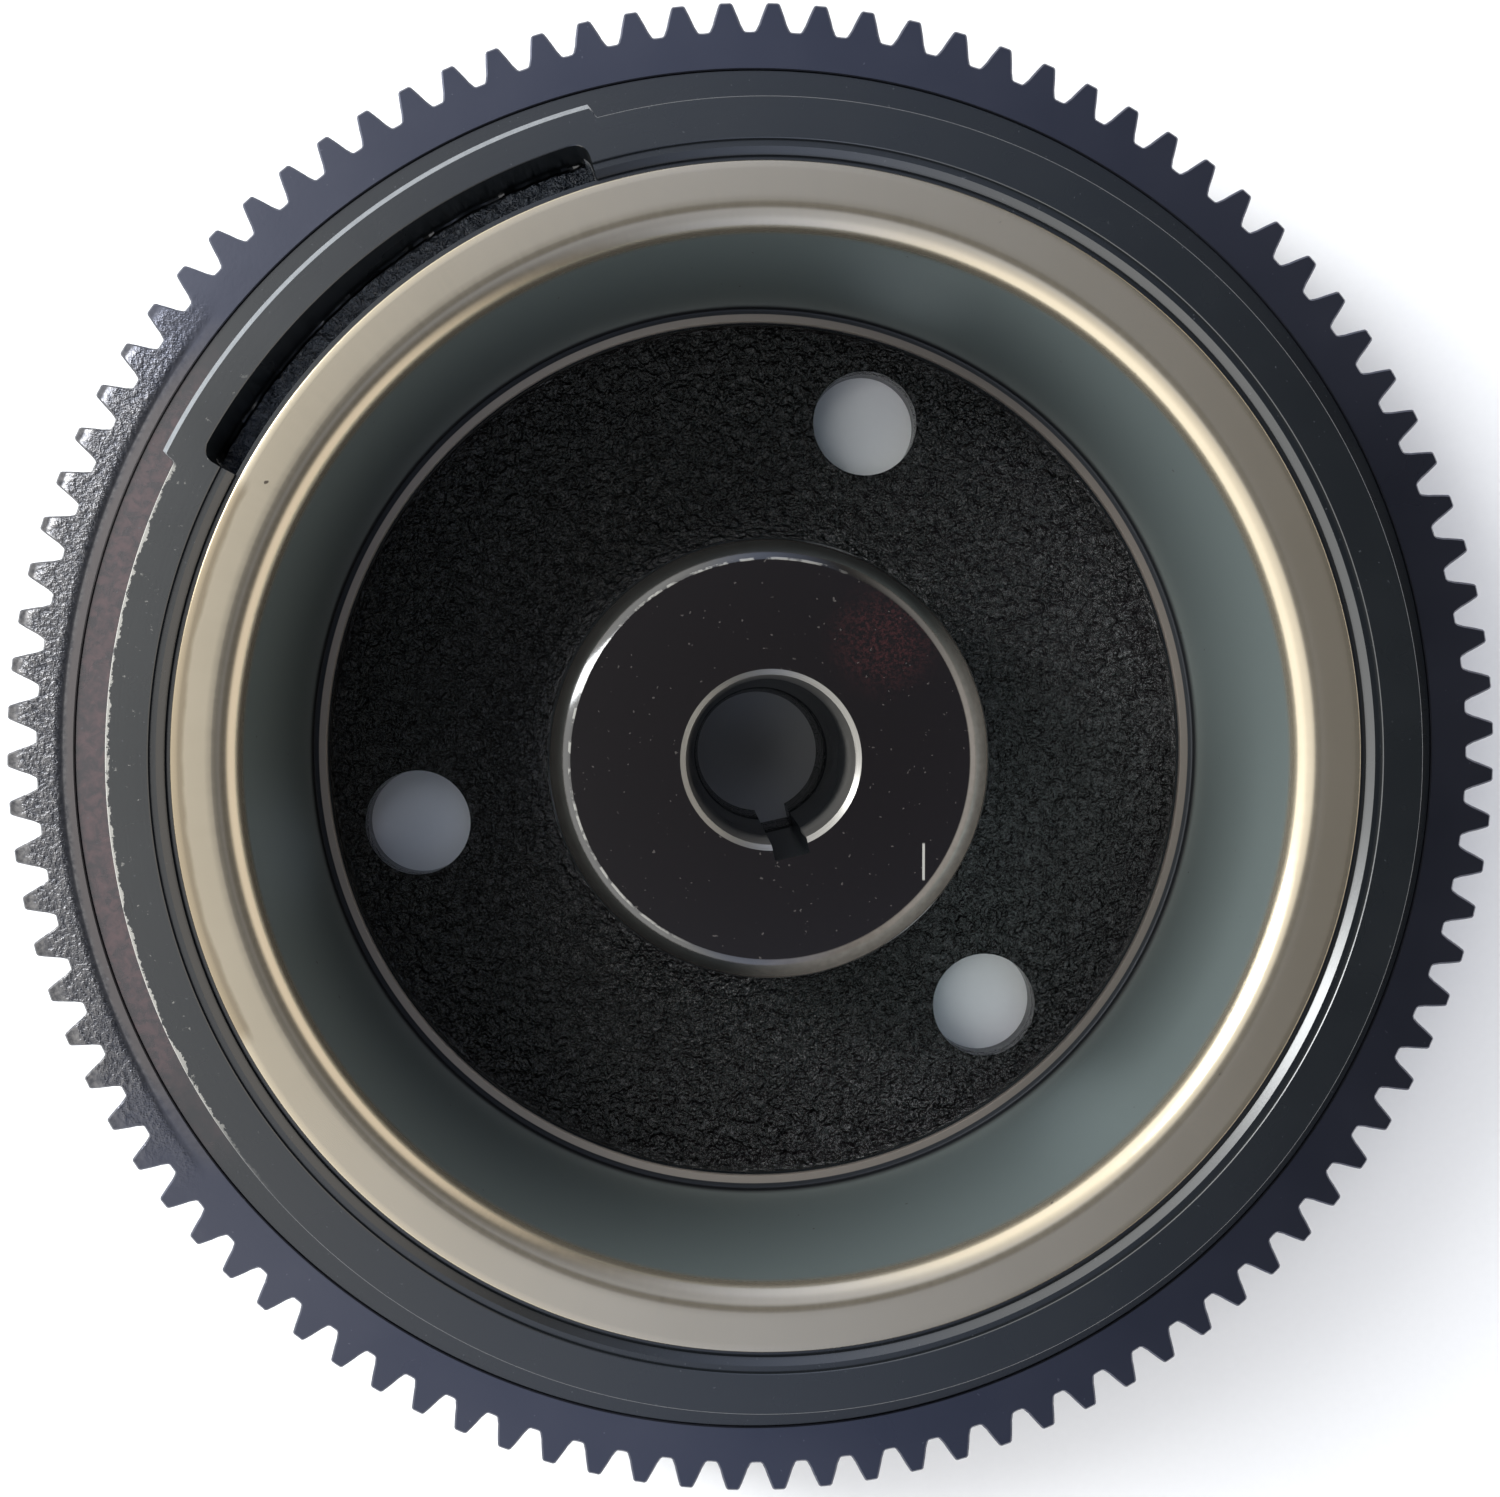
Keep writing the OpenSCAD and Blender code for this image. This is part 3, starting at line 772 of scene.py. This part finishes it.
def aim(place, target, up=(0, 1, 0)):
    """Matrix of a camera or lamp at place that looks at target."""
    back = (Vector(place) - Vector(target)).normalized()
    right = Vector(up).cross(back).normalized()
    rotation = Matrix((right, back.cross(right), back)).transposed().to_4x4()
    return Matrix.Translation(place) @ rotation


def add_lamp(name, place, target, size, watts, color):
    light = bpy.data.lights.new(name, "AREA")
    light.shape = "RECTANGLE"
    light.size, light.size_y = size
    light.energy = watts
    light.color = color
    obj = bpy.data.objects.new(name, light)
    obj.matrix_world = aim(place, target)
    bpy.context.scene.collection.objects.link(obj)


def build_lights():
    add_lamp("window_left", (-0.82, 0.38, 0.52), (0, 0, 0.03), (0.9, 0.24), 14.5, (0.95, 0.98, 1.0))


def build_world():
    """Soft room: bright to the left, dim to the right, and a dark patch overhead where the camera hangs."""
    world = bpy.data.worlds.new("room")
    world.use_nodes = True
    tree = world.node_tree

    def node(kind, **settings):
        made = tree.nodes.new(kind)
        for key, value in settings.items():
            setattr(made, key, value)
        return made

    def math_node(operation, a, b=0.0):
        made = node("ShaderNodeMath", operation=operation)
        for value, socket in ((a, made.inputs[0]), (b, made.inputs[1])):
            if isinstance(value, bpy.types.NodeSocket):
                tree.links.new(value, socket)
            else:
                socket.default_value = value
        return made.outputs[0]

    def ramp(value, low, high, start, end, smooth=True):
        made = node("ShaderNodeMapRange", interpolation_type="SMOOTHSTEP" if smooth else "LINEAR")
        tree.links.new(value, made.inputs["Value"])
        for name, number in (("From Min", low), ("From Max", high), ("To Min", start), ("To Max", end)):
            made.inputs[name].default_value = number
        return made.outputs["Result"]

    split = node("ShaderNodeSeparateXYZ")
    tree.links.new(node("ShaderNodeTexCoord").outputs["Generated"], split.inputs[0])
    x, y, z = split.outputs
    off_zenith = math_node("SQRT", math_node("ADD", math_node("MULTIPLY", x, x), math_node("MULTIPLY", y, y)))
    side = ramp(x, -0.45, 0.41, 1.7, 0.02, smooth=False)
    overhead = ramp(off_zenith, 0.19, 0.32, 0.04, 1.0)
    low_left = math_node("MULTIPLY", ramp(z, 0.80, 0.45, 0.0, 0.5), side)
    low_right = math_node("MULTIPLY", ramp(z, 0.74, 0.50, 0.0, 1.7), ramp(x, 0.35, 0.75, 0.0, 1.0))
    strength = math_node("ADD", math_node("MULTIPLY", side, overhead), math_node("ADD", low_left, low_right))
    tint = node("ShaderNodeMix", data_type="RGBA")
    tree.links.new(ramp(x, -0.35, 0.05, 0.0, 1.0), tint.inputs["Factor"])
    tint.inputs["A"].default_value = (1.0, 1.0, 0.98, 1.0)
    tint.inputs["B"].default_value = (0.80, 0.93, 1.28, 1.0)
    warm = node("ShaderNodeMix", data_type="RGBA")
    tree.links.new(ramp(x, 0.28, 0.42, 0.0, 1.0), warm.inputs["Factor"])
    tree.links.new(tint.outputs["Result"], warm.inputs["A"])
    warm.inputs["B"].default_value = (1.0, 0.94, 0.87, 1.0)
    background = tree.nodes["Background"]
    tree.links.new(warm.outputs["Result"], background.inputs["Color"])
    tree.links.new(strength, background.inputs["Strength"])
    bpy.context.scene.world = world


def build_camera():
    camera = bpy.data.cameras.new("camera")
    camera.sensor_width = 36
    camera.lens = 40.2
    camera.clip_start = 0.01
    obj = bpy.data.objects.new("camera", camera)
    ring_face = RING_TOP_Z * MM
    obj.matrix_world = aim((-0.0125, 0.0078, ring_face + 0.240), (-0.0021, 0.00105, ring_face))
    bpy.context.scene.collection.objects.link(obj)
    bpy.context.scene.camera = obj


build_camera()
build_casting(casting_material())
build_ring(ring_material())
build_cover(cover_material())
dress_cad_nodes()
build_floor()
build_lights()
build_world()
bpy.context.scene.view_settings.view_transform = "Standard"
